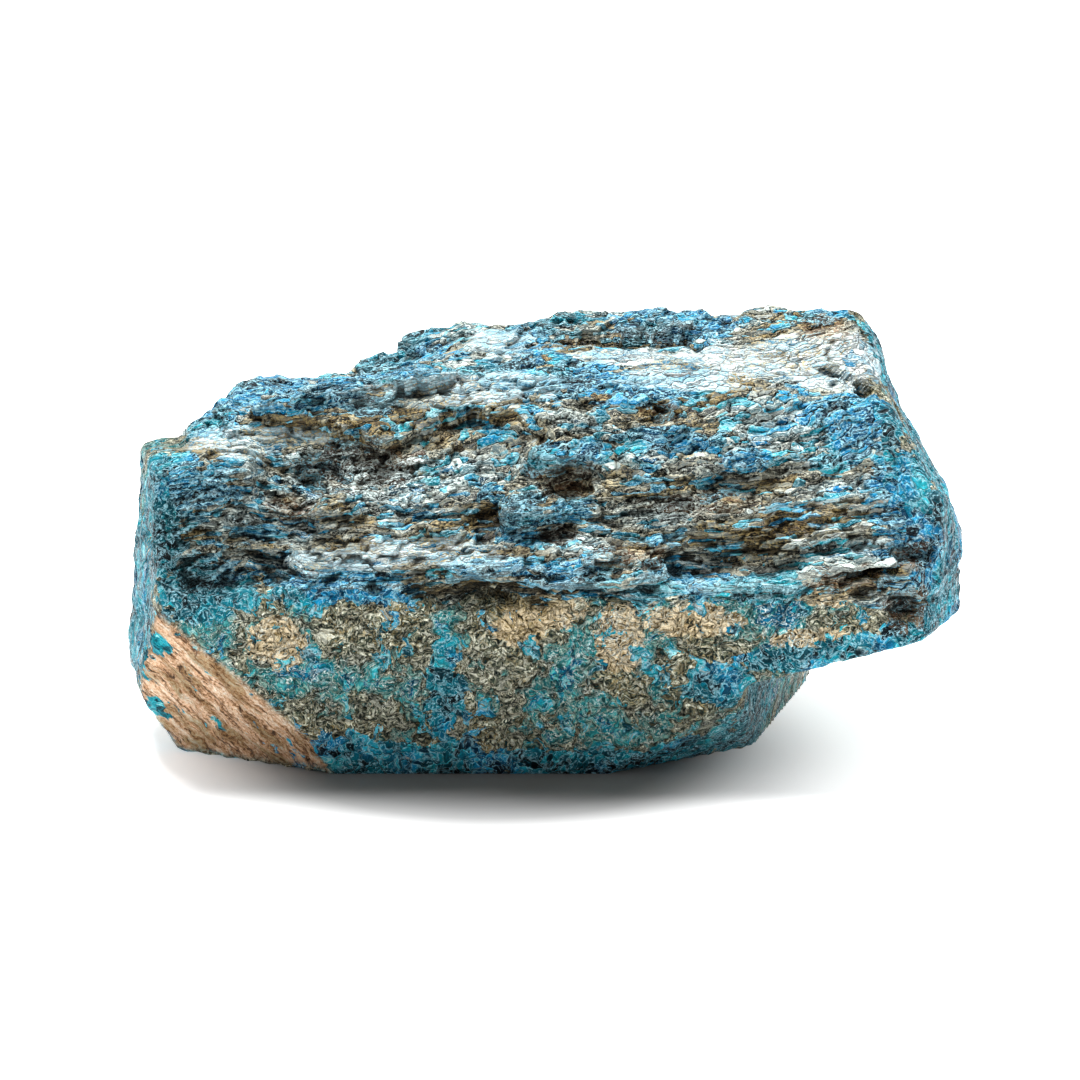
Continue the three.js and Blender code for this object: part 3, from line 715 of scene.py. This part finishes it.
in_island = add_node(tree, RANGE, SMOOTH, {"Value": front_kind, "From Min": 0.51, "From Max": 0.48})
front_colour = add_node(tree, MIX, COLOUR, {0: in_island, 6: front_colour, 7: island}, 2)
vein = add_node(tree, MATH, LESS, {0: front_kind, 1: 0.50})
vein = add_node(tree, MATH, {"operation": "ABSOLUTE"}, {0: vein})
vein = add_node(tree, RANGE, SMOOTH, {"Value": vein, "From Min": 0.030, "From Max": 0.008})
vein = add_node(tree, MATH, TIMES, {0: vein, 1: 0.60})
front_colour = add_node(tree, MIX, COLOUR, {0: vein, 6: front_colour, 7: linear("#857650")}, 2)
top_colour = add_node(tree, RAMP, {"stops": [
    (0.03, "#3d342b"), (0.16, "#756b5a"), (0.30, "#999a90"), (0.42, "#2c3532"),
    (0.54, "#c2cac8"), (0.66, "#3d5a60"), (0.80, "#a3bbc0"), (0.95, "#0c7aa0"),
]}, {0: kind})
colour = add_node(tree, MIX, COLOUR, {0: layered_mark, 6: front_colour, 7: top_colour}, 2)

# Painted light and shade: every broken flake turns its own way, so each is painted lighter or
# darker than its neighbours; on the clean breaks the curls lighten and darken it as well
painted_facet_light = add_node(tree, MATH, TIMES_PLUS, {0: crystal_green, 1: 0.55, 2: 0.10})
painted_facet_light = add_node(tree, MATH, TIMES_PLUS, {0: fine_red, 1: 1.20, 2: painted_facet_light})
painted_facet_light_and_curls = add_node(tree, MATH, TIMES_PLUS, {0: painted_facet_light, 1: 0.36, 2: -0.46})
painted_facet_light_and_curls = add_node(tree, MATH, TIMES_PLUS, {0: curls, 1: 2.4, 2: painted_facet_light_and_curls})
painted_facet_light = add_node(tree, MIX, {}, {0: layered_mark, 2: painted_facet_light_and_curls, 3: painted_facet_light})
painted_facet_grey = add_node(tree, "ShaderNodeCombineColor", {}, {0: painted_facet_light, 1: painted_facet_light, 2: painted_facet_light})
colour = add_node(tree, MIX, TINT, {0: 1.0, 6: colour, 7: painted_facet_grey}, 2)

# Sandy patches on the front break, full of tight dark curls
ragged = add_node(tree, MATH, TIMES_PLUS, {0: blobs, 1: 1.7, 2: -1.25})
ragged = add_node(tree, MATH, TIMES_PLUS, {0: mottle, 1: 0.8, 2: ragged})
tan_here = add_node(tree, MATH, TIMES_PLUS, {0: mark["tan_spot"], 1: 0.95, 2: ragged})
tan_here = add_node(tree, RANGE, SMOOTH, {"Value": tan_here, "From Min": 0.36, "From Max": 0.42})
sandy = add_node(tree, RAMP, {"stops": [
    (0.36, "#33362c"), (0.44, "#a8946e"), (0.56, "#e0d2b6"),
]}, {0: tight})
colour = add_node(tree, MIX, COLOUR, {0: tan_here, 6: colour, 7: sandy}, 2)

# Clear blue apatite in whole crystals, thick in its spots: deep in the middle of each, lighter
# towards its rim, teal in some patches
blue_here = add_node(tree, MATH, TIMES_PLUS, {0: mark["blue"], 1: 0.72, 2: ragged})
speckle = add_node(tree, MATH, TIMES_PLUS, {0: fine_green, 1: 0.56, 2: -0.24})
speckle = add_node(tree, MATH, TIMES_PLUS, {0: speckle, 1: layered_mark, 2: -0.04})
blue_here = add_node(tree, MATH, {"operation": "ADD"}, {0: blue_here, 1: speckle})
blue_here = add_node(tree, RANGE, SMOOTH, {"Value": blue_here, "From Min": 0.14, "From Max": 0.17})
near_rim = {"Value": fine_rim, "From Min": 0.17, "From Max": 0.02, "To Max": 0.22}
near_rim = add_node(tree, RANGE, SMOOTH, near_rim)
shade = add_node(tree, MATH, TIMES_PLUS, {0: crystal_green, 1: 0.45, 2: near_rim})
shade = add_node(tree, MATH, TIMES_PLUS, {0: fine_green, 1: 0.55, 2: shade})
shade = add_node(tree, MATH, LESS, {0: shade, 1: 0.10})
deep_shade = add_node(tree, MATH, TIMES_PLUS, {0: mark["blue"], 1: -0.14, 2: shade})
clear_blue = add_node(tree, RAMP, {"stops": [
    (0.05, "#02222f"), (0.26, "#056588"), (0.50, "#0898c4"), (0.76, "#50c0da"), (0.95, "#bce8f2"),
]}, {0: deep_shade})
teal_blue = add_node(tree, RAMP, {"stops": [
    (0.05, "#02262c"), (0.26, "#065f6d"), (0.50, "#0a94a6"), (0.76, "#3cbeca"), (0.95, "#aae6e9"),
]}, {0: deep_shade})
teal_share = add_node(tree, NOISE, {}, {"Vector": place, "Scale": 0.13, "Detail": 2.0})
front_more = add_node(tree, MATH, TIMES_PLUS, {0: layered_mark, 1: -0.08, 2: 0.05})
teal_share = add_node(tree, MATH, {"operation": "ADD"}, {0: teal_share, 1: front_more})
teal_edge = {"Value": teal_share, "From Min": 0.44, "From Max": 0.54}
teal_share = add_node(tree, RANGE, SMOOTH, teal_edge)
blue_colour = add_node(tree, MIX, COLOUR, {0: teal_share, 6: clear_blue, 7: teal_blue}, 2)
colour = add_node(tree, MIX, COLOUR, {0: blue_here, 6: colour, 7: blue_colour}, 2)

# Crushed and weathered crystal: chalky, blue-white, and on the treads and slopes that face the lamp
# also painted light
pale_and_lit_here = add_node(tree, MATH, TIMES_PLUS, {0: mark["pale"], 1: 1.05, 2: ragged})
pale_and_lit_here = add_node(tree, RANGE, SMOOTH, {"Value": pale_and_lit_here, "From Min": 0.27, "From Max": 0.50})
pale_and_lit_colour = add_node(tree, RAMP, {"stops": [
    (0.02, "#3a809e"), (0.18, "#86a9b7"), (0.42, "#bdced4"), (0.75, "#eaf0f0"),
]}, {0: shade})
colour = add_node(tree, MIX, COLOUR, {0: pale_and_lit_here, 6: colour, 7: pale_and_lit_colour}, 2)

# Iron stain in the hollows
rust_here = add_node(tree, MATH, TIMES_PLUS, {0: mark["rust"], 1: 0.90, 2: ragged})
rust_here = add_node(tree, RANGE, SMOOTH, {"Value": rust_here, "From Min": 0.32, "From Max": 0.50})
rust_colour = add_node(tree, RAMP, {"stops": [
    (0.10, "#35261b"), (0.45, "#8d6a4d"), (0.80, "#c2a583"),
]}, {0: shade})
rust_here = add_node(tree, MATH, TIMES, {0: rust_here, 1: 0.80})
colour = add_node(tree, MIX, COLOUR, {0: rust_here, 6: colour, 7: rust_colour}, 2)

# Darker in spots: painted shade in the pit, the undercut, the recesses, under the overhang and in
# the back's hollow, and a darker tone on stretches of the slopes and the front
darker_and_shaded = add_node(tree, MATH, TIMES, {0: mark["dark"], 1: 0.70})
colour = add_node(tree, MIX, TINT, {0: darker_and_shaded, 6: colour, 7: linear("#7d857c")}, 2)

# Flakes lie like tiles: painted shade in the gaps under their lower edges, painted highlights in
# thin pale lines along the upper ones and round the crystals, and curling lines through the matrix
from_middle = add_node(tree, VECTOR, LESS, {0: cells, 1: fine_place})
higher = add_node(tree, "ShaderNodeSeparateXYZ", {}, {0: from_middle}, 2)
low_side = add_node(tree, RANGE, SMOOTH, {"Value": higher, "From Min": 0.0, "From Max": -0.14})
painted_gap_shade = add_node(tree, RANGE, SMOOTH, {"Value": fine_rim, "From Min": 0.19, "From Max": 0.08})
painted_gap_shade = add_node(tree, MATH, TIMES, {0: painted_gap_shade, 1: low_side})
gap_shade_share = add_node(tree, MIX, {}, {0: layered_mark, 2: 0.40, 3: 0.95})
gap_shade_share = add_node(tree, MIX, {}, {0: pale_and_lit_here, 2: gap_shade_share, 3: 0.45})
painted_gap_shade = add_node(tree, MATH, TIMES, {0: painted_gap_shade, 1: gap_shade_share})
# Painted shade: the gap colour darkens the lower edge of each flake
colour = add_node(tree, MIX, COLOUR, {0: painted_gap_shade, 6: colour, 7: linear("#0b1817")}, 2)
# Painted highlights: thin pale lines along the crystals' edges, and on the upper side of each flake
high_side = add_node(tree, RANGE, SMOOTH, {"Value": higher, "From Min": -0.02, "From Max": 0.10})
painted_rim_highlight = add_node(tree, RANGE, SMOOTH, {"Value": rim, "From Min": 0.060, "From Max": 0.020})
painted_upper_highlight = add_node(tree, RANGE, SMOOTH, {"Value": fine_rim, "From Min": 0.110, "From Max": 0.040})
painted_upper_highlight = add_node(tree, MATH, TIMES, {0: painted_upper_highlight, 1: high_side})
# The curls and strokes are lines in the matrix itself
curl = add_node(tree, MATH, LESS, {0: curls, 1: 0.5})
curl = add_node(tree, MATH, {"operation": "ABSOLUTE"}, {0: curl})
curl_line = add_node(tree, RANGE, SMOOTH, {"Value": curl, "From Min": 0.024, "From Max": 0.008})
stroke = add_node(tree, MATH, LESS, {0: tight, 1: 0.5})
stroke = add_node(tree, MATH, {"operation": "ABSOLUTE"}, {0: stroke})
stroke = add_node(tree, RANGE, SMOOTH, {"Value": stroke, "From Min": 0.030, "From Max": 0.010})
stroke = add_node(tree, MATH, TIMES, {0: stroke, 1: layered_mark})
highlights_and_curls = add_node(tree, MATH, {"operation": "MAXIMUM"}, {0: painted_rim_highlight, 1: painted_upper_highlight})
rim_highlight_share = add_node(tree, MATH, TIMES_PLUS, {0: blue_here, 1: 0.35, 2: 0.35})
rim_highlight_share = add_node(tree, MIX, {}, {0: layered_mark, 2: rim_highlight_share, 3: 1.0})
highlights_and_curls = add_node(tree, MATH, TIMES, {0: highlights_and_curls, 1: rim_highlight_share})
highlights_and_curls = add_node(tree, MATH, {"operation": "MAXIMUM"}, {0: highlights_and_curls, 1: stroke})
highlights_and_curls = add_node(tree, MATH, {"operation": "MAXIMUM"}, {0: highlights_and_curls, 1: curl_line})
broken_up = add_node(tree, RANGE, SMOOTH, {"Value": grit, "From Min": 0.38, "From Max": 0.52})
highlights_and_curls = add_node(tree, MATH, TIMES, {0: highlights_and_curls, 1: broken_up})
line_share = add_node(tree, MIX, {}, {0: blue_here, 2: 0.95, 3: 0.85})
highlights_and_curls = add_node(tree, MATH, TIMES, {0: highlights_and_curls, 1: line_share})
# Colour of the painted highlights and the curls: pale gold, and pale blue over the blue crystals
line_colour = add_node(tree, RAMP, {"stops": [
    (0.34, "#a8966c"), (0.43, "#bfb08a"), (0.52, "#d6d6c8"), (0.62, "#e2eeec"),
]}, {0: patches})
line_colour = add_node(tree, MIX, COLOUR, {0: blue_here, 6: line_colour, 7: linear("#b6dfea")}, 2)
colour = add_node(tree, MIX, COLOUR, {0: highlights_and_curls, 6: colour, 7: line_colour}, 2)

# Painted shade and highlights: crevices, hollows and faces turned down are painted darker, and
# edges on the layered top are painted pale
painted_edge_highlight = {"Value": mark["crevice"], "From Min": -0.15, "From Max": -1.2}
painted_edge_highlight = add_node(tree, RANGE, SMOOTH, painted_edge_highlight)
painted_edge_highlight = add_node(tree, MATH, TIMES, {0: painted_edge_highlight, 1: layered_mark})
painted_edge_highlight = add_node(tree, MATH, TIMES, {0: painted_edge_highlight, 1: 0.30})
colour = add_node(tree, MIX, COLOUR, {0: painted_edge_highlight, 6: colour, 7: linear("#d5e2e0")}, 2)
painted_crevice_shade = {"Value": mark["crevice"], "From Min": 0.05, "From Max": 1.1}
painted_crevice_shade = add_node(tree, RANGE, SMOOTH, painted_crevice_shade)
painted_crevice_shade = add_node(tree, MATH, TIMES, {0: painted_crevice_shade, 1: 0.65})
colour = add_node(tree, MIX, TINT, {0: painted_crevice_shade, 6: colour, 7: linear("#4f4a3c")}, 2)
painted_hollow_shade = add_node(tree, RANGE, SMOOTH, {"Value": mark["hollow"], "From Min": 0.15, "From Max": 1.1})
painted_hollow_shade = add_node(tree, MATH, TIMES, {0: painted_hollow_shade, 1: 0.50})
colour = add_node(tree, MIX, TINT, {0: painted_hollow_shade, 6: colour, 7: linear("#5a5044")}, 2)
painted_underside_shade = {"Value": mark["upward"], "From Min": 0.10, "From Max": -0.55}
painted_underside_shade = add_node(tree, RANGE, SMOOTH, painted_underside_shade)
painted_underside_shade = add_node(tree, MATH, TIMES, {0: painted_underside_shade, 1: layered_mark})
painted_underside_shade = add_node(tree, MATH, TIMES, {0: painted_underside_shade, 1: 0.20})
colour = add_node(tree, MIX, TINT, {0: painted_underside_shade, 6: colour, 7: linear("#6d6a60")}, 2)

# Unweathered breaks are deep in tone: the dark colours darker still, the light ones as they are
FRONT_DEPTH, TOP_DEPTH, BRIGHTNESS = 1.27, 1.42, 1.27
depth = add_node(tree, MIX, {}, {0: layered_mark, 2: FRONT_DEPTH, 3: TOP_DEPTH})
colour = add_node(tree, "ShaderNodeGamma", {}, {0: colour, 1: depth})
colour = add_node(tree, VECTOR, {"operation": "SCALE"}, {0: colour, 3: BRIGHTNESS})

# The tan corner: matrix split along its fibres like wood, with a little blue left at its side
fibres = add_node(tree, MARK, {"attribute_name": "fibre"}, output="Vector")
bent = {0: swirl, 1: (1.5, 1.5, 1.5), 2: fibres}
fibres = add_node(tree, VECTOR, TIMES_PLUS, bent)
along_strands = add_node(tree, VECTOR, TIMES, {0: fibres, 1: (0.24, 1.5, 0.8)})
thin = {"Vector": along_strands, "Scale": 1.0, "Detail": 4.0, "Roughness": 0.72}
strand = add_node(tree, NOISE, {}, thin)
along_bands = add_node(tree, VECTOR, TIMES, {0: fibres, 1: (0.14, 0.40, 0.3)})
broad = {"Vector": along_bands, "Scale": 1.0, "Detail": 2.0, "Roughness": 0.6}
band = add_node(tree, NOISE, {}, broad)
wood = add_node(tree, MATH, TIMES_PLUS, {0: strand, 1: 1.7, 2: -0.85})
wood = add_node(tree, MATH, TIMES_PLUS, {0: grit, 1: 0.9, 2: wood})
wood = add_node(tree, RAMP, {"stops": [
    (0.18, "#6f5038"), (0.32, "#bd916b"), (0.46, "#deb592"), (0.60, "#eccfb0"), (0.85, "#faf1e4"),
]}, {0: wood})
stained = {"Value": band, "From Min": 0.47, "From Max": 0.60, "To Max": 0.75}
stain = add_node(tree, RANGE, SMOOTH, stained)
wood = add_node(tree, MIX, TINT, {0: stain, 6: wood, 7: linear("#a9a484")}, 2)
split = add_node(tree, VECTOR, TIMES, {0: fibres, 1: (0.20, 1.0, 0.4)})
split = add_node(tree, CELLS, TO_EDGE, {"Vector": split, "Scale": 1.0})
split = add_node(tree, RANGE, SMOOTH, {"Value": split, "From Min": 0.05, "From Max": 0.01})
split_here = add_node(tree, RANGE, SMOOTH, {"Value": strand, "From Min": 0.52, "From Max": 0.44})
split = add_node(tree, MATH, TIMES, {0: split, 1: split_here})
split = add_node(tree, MATH, TIMES, {0: split, 1: 0.85})
wood = add_node(tree, MIX, COLOUR, {0: split, 6: wood, 7: linear("#33241a")}, 2)
fleck = add_node(tree, VECTOR, TIMES, {0: fibres, 1: (0.30, 0.75, 0.8)})
fleck = add_node(tree, NOISE, {}, {"Vector": fleck, "Scale": 1.0, "Detail": 4.0, "Roughness": 0.6})
fleck = add_node(tree, MATH, TIMES_PLUS, {0: mark["blue"], 1: 0.30, 2: fleck})
fleck = add_node(tree, RANGE, SMOOTH, {"Value": fleck, "From Min": 0.62, "From Max": 0.68})
wood = add_node(tree, MIX, COLOUR, {0: fleck, 6: wood, 7: blue_colour}, 2)
colour = add_node(tree, MIX, COLOUR, {0: mark["tan_face"], 6: colour, 7: wood}, 2)

# Relief too fine for the mesh: each flake leans its own way and bulges a little, with grooves
# between the crystals
lean = add_node(tree, VECTOR, LESS, {0: fine, 1: (0.5, 0.5, 0.5)})
lean = add_node(tree, VECTOR, {"operation": "DOT_PRODUCT"}, {0: from_middle, 1: lean}, "Value")
fine_bulge = add_node(tree, RANGE, SMOOTH, {"Value": fine_rim, "From Min": 0.0, "From Max": 0.16})
lift = add_node(tree, MATH, TIMES, {0: lean, 1: 5.0})
lift = add_node(tree, MATH, TIMES_PLUS, {0: fine_bulge, 1: 0.40, 2: lift})
lift = add_node(tree, MATH, TIMES_PLUS, {0: grit, 1: 0.8, 2: lift})
strand_lift = add_node(tree, MATH, TIMES, {0: strand, 1: 2.4})
lift = add_node(tree, MIX, {}, {0: mark["tan_face"], 2: lift, 3: strand_lift})
RELIEF_HEIGHT = 0.0005
relief = {"Strength": 1.0, "Distance": RELIEF_HEIGHT, "Height": lift}
bump = add_node(tree, "ShaderNodeBump", {}, relief)
gloss = add_node(tree, MATH, TIMES_PLUS, {0: fine_red, 1: 0.4, 2: 0.30})
tree.links.new(colour, shader.inputs["Base Color"])
tree.links.new(gloss, shader.inputs["Roughness"])
tree.links.new(bump, shader.inputs["Normal"])
APATITE_IOR, DULL = 1.63, 0.10
shader.inputs["IOR"].default_value = APATITE_IOR
shader.inputs["Specular IOR Level"].default_value = DULL

mesh.materials.append(rough_apatite)
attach(stone, "root")
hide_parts("apatite")

# ---- The table ---------------------------------------------------------------------------
# A plain white sheet under the stone, wide enough to fill the view in every direction. It glows as
# painted light everywhere except close round the stone, and there it is painted grey: a painted
# shadow.
TABLE_HALF = 3.0
SHADE_MIDDLE, SHADE_REACH = (-0.005, -0.008), (0.021, 0.0205)
table_mesh = bpy.data.meshes.new("table")
table_corners = [(-TABLE_HALF, -TABLE_HALF, 0), (TABLE_HALF, -TABLE_HALF, 0),
                 (TABLE_HALF, TABLE_HALF, 0), (-TABLE_HALF, TABLE_HALF, 0)]
table_mesh.from_pydata(table_corners, [], [(0, 1, 2, 3)])
table = bpy.data.objects.new("table", table_mesh)
bpy.context.scene.collection.objects.link(table)
light_table = bpy.data.materials.new("light_table")
light_table.use_nodes = True
tree = light_table.node_tree
sheet = tree.nodes["Principled BSDF"]
spot = add_node(tree, "ShaderNodeTexCoord", output="Object")
spot = add_node(tree, VECTOR, LESS, {0: spot, 1: (*SHADE_MIDDLE, 0)})
spot = add_node(tree, VECTOR, TIMES, {0: spot, 1: (1 / SHADE_REACH[0], 1 / SHADE_REACH[1], 1)})
spot = add_node(tree, VECTOR, {"operation": "LENGTH"}, {0: spot}, "Value")
near = add_node(tree, MATH, TIMES, {0: spot, 1: 0.5})
# Painted light: the sheet glows more the further it lies from the stone
lit = {"Value": spot, "From Min": 0.80, "From Max": 1.90, "To Max": 0.9}
painted_glow = add_node(tree, RANGE, SMOOTH, lit)
# Painted shadow: the sheet is grey close round the stone and lighter further out
painted_shadow_colour = add_node(tree, RAMP, {"stops": [
    (0.28, "#858483"), (0.42, "#8e8e8e"), (0.50, "#989898"), (0.60, "#c4c4c4"), (0.80, "#e6e6e6"),
]}, {0: near})
tree.links.new(painted_shadow_colour, sheet.inputs["Base Color"])
tree.links.new(painted_glow, sheet.inputs["Emission Strength"])
sheet.inputs["Emission Color"].default_value = (1, 1, 1, 1)
sheet.inputs["Roughness"].default_value = 0.9
sheet.inputs["Specular IOR Level"].default_value = 0.1
table_mesh.materials.append(light_table)

# ---- Light and camera --------------------------------------------------------------------
# White all round, and one broad soft lamp above and a little behind the stone. The camera looks
# at the front from fifteen degrees above the table.
world = bpy.data.worlds.new("studio")
bpy.context.scene.world = world
world.use_nodes = True
WORLD_STRENGTH = 0.31
sky = world.node_tree.nodes["Background"]
sky.inputs["Color"].default_value = (1, 1, 1, 1)
sky.inputs["Strength"].default_value = WORLD_STRENGTH


def soft_lamp(name, place, size, watts, towards):
    """A rectangular lamp at a place, turned towards a point."""
    lamp = bpy.data.lights.new(name, "AREA")
    lamp.shape = "RECTANGLE"
    lamp.size, lamp.size_y = size
    lamp.energy = watts
    holder = bpy.data.objects.new(name, lamp)
    holder.location = place
    holder.rotation_euler = (Vector(towards) - Vector(place)).to_track_quat("-Z", "Y").to_euler()
    bpy.context.scene.collection.objects.link(holder)


soft_lamp("overhead", (-0.08, 0.29, 0.82), (0.50, 0.40), 17.0, (0, 0, 0.02))

ELEVATION = math.radians(15)
DISTANCE = 0.45
PIXELS_PER_METRE, PICTURE_WIDTH = 10340, 1080
SENSOR_MM = 36
AIM_HEIGHT = 0.01867
target = Vector((-middle[0] * MM, -middle[1] * MM, AIM_HEIGHT))
camera = bpy.data.cameras.new("camera")
camera.sensor_width = SENSOR_MM
camera.lens = SENSOR_MM * DISTANCE * PIXELS_PER_METRE / PICTURE_WIDTH
camera.clip_start = 0.01
viewer = bpy.data.objects.new("camera", camera)
viewer.location = target + Vector((0, -math.cos(ELEVATION), math.sin(ELEVATION))) * DISTANCE
viewer.rotation_euler = (math.pi / 2 - ELEVATION, 0, 0)
bpy.context.scene.collection.objects.link(viewer)
bpy.context.scene.camera = viewer
bpy.context.scene.view_settings.view_transform = "Standard"
